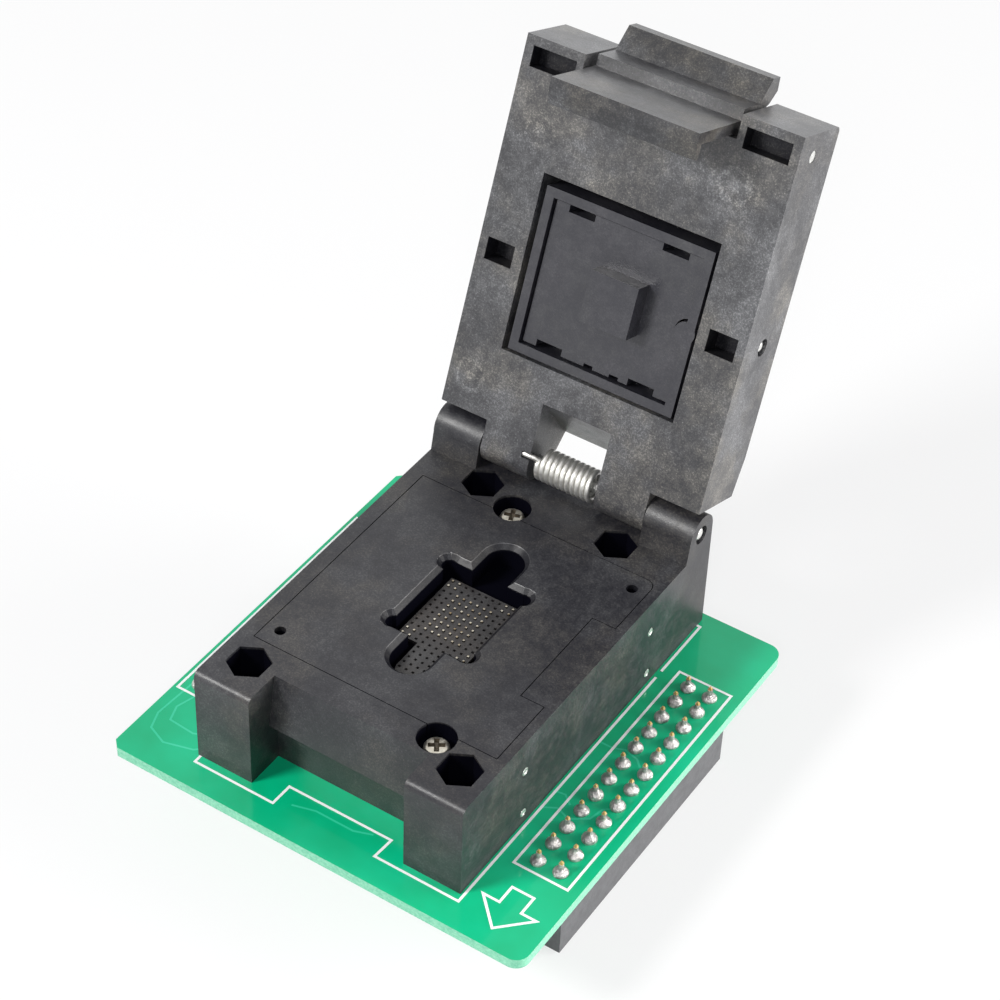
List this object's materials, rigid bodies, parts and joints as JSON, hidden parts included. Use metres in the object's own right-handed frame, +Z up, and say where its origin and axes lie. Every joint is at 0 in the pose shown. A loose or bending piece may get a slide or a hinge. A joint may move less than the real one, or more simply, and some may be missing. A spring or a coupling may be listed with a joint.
{
  "type": "bga socket adapter",
  "caption": "Hinged-lid chip test socket on a green circuit board, with socket strips below the long sides; the lid presses the chip on spring contacts.",
  "frame": {"origin": "midway between the two headers, on the plane of their mating faces", "axes": "+X across the socket to its right, +Y from the latch to the hinge, +Z up from the headers to the socket"},
  "size_m": [0.0482, 0.0681, 0.0655],
  "materials": {
    "circuit_board": "glossy green solder mask",
    "header_plastic": "satin black",
    "gold_contact": "gold plated",
    "solder": "bright solder",
    "filled_plastic": "mottled glass-filled plastic",
    "dark_plastic": "matt dark grey",
    "pusher_plastic": "smooth blue-grey",
    "nickel_screw": "nickel plated",
    "steel": "ground steel",
    "spring_wire": "bright spring wire"
  },
  "bodies": {
    "base": {"board": "circuit_board", "header_left": "header_plastic", "header_right": "header_plastic", "header_contacts_left": "gold_contact", "header_contacts_right": "gold_contact", "solder_left": "solder", "solder_right": "solder", "base_frame": "filled_plastic", "guide_plate": "filled_plastic", "plate_screws": "nickel_screw", "probe_block": "dark_plastic", "probe_cover": "dark_plastic", "side_pins": "steel", "mounting_nuts": "steel", "mounting_screws": "steel", "hinge_pin": "steel", "hinge_spring": "spring_wire"},
    "lid": {"lid_frame": "filled_plastic", "pusher_pins": "steel", "pusher_springs": "spring_wire", "latch_pin": "steel", "latch_spring": "spring_wire"},
    "pusher": {"pusher_frame": "pusher_plastic", "pusher_plate": "pusher_plastic"},
    "latch": {"latch": "filled_plastic"},
    "probe_set": {"probes": "gold_contact"}
  },
  "joints": [
    {"name": "lid_hinge", "type": "hinge", "parent": "base", "child": "lid", "pos_m": [-0.0003, 0.02123, 0.02335], "axis": [1, 0, 0], "range_deg": [0, 110.59], "stiffness_Nm_per_rad": 0.005, "springref_deg": -34.38, "deforming": ["hinge_spring"]},
    {"name": "latch_pivot", "type": "hinge", "parent": "lid", "child": "latch", "pos_m": [-0.0003, 0.03639, 0.06058], "axis": [1, 0, 0], "range_deg": [-18, 0], "stiffness_Nm_per_rad": 0.02, "springref_deg": 17.19, "deforming": ["latch_spring"]},
    {"name": "pusher_slide", "type": "slide", "parent": "lid", "child": "pusher", "axis": [0, 0.9361, -0.3517], "range_m": [0, 0.001], "stiffness_N_per_m": 2000, "springref_m": -0.001, "deforming": ["pusher_springs"]},
    {"name": "probe_travel", "type": "slide", "parent": "base", "child": "probe_set", "axis": [0, 0, -1], "range_m": [0, 0.0003], "stiffness_N_per_m": 2000, "springref_m": -0.001}
  ]
}
